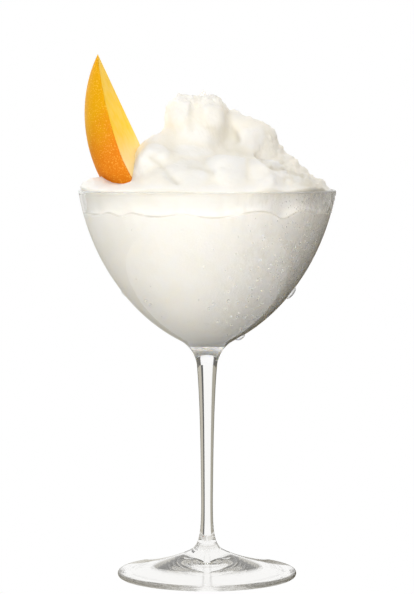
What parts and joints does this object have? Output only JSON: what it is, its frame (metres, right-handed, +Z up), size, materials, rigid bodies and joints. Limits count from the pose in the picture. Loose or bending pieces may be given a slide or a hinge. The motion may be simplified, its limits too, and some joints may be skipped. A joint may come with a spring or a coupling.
{
  "type": "frozen cocktail in a stemmed glass",
  "caption": "Stemmed glass heaped with white slush that stands well above the rim, with a slice of mango stuck in it.",
  "frame": {"origin": "centre of the foot's underside, on the surface that the glass stands on", "axes": "+Z up along the stem; the front is -Y, with the mango slice on the -X side"},
  "size_m": [0.116, 0.116, 0.236],
  "materials": {
    "clear_glass": "clear and smooth, with condensation on the bowl",
    "slush": "soft white slush with an icy edge",
    "mango": "speckled yellow skin that blushes orange, and pale yellow flesh"
  },
  "bodies": {
    "root": {"glass": "clear_glass", "frozen_drink": "slush", "mango_slice": "mango"}
  },
  "joints": []
}
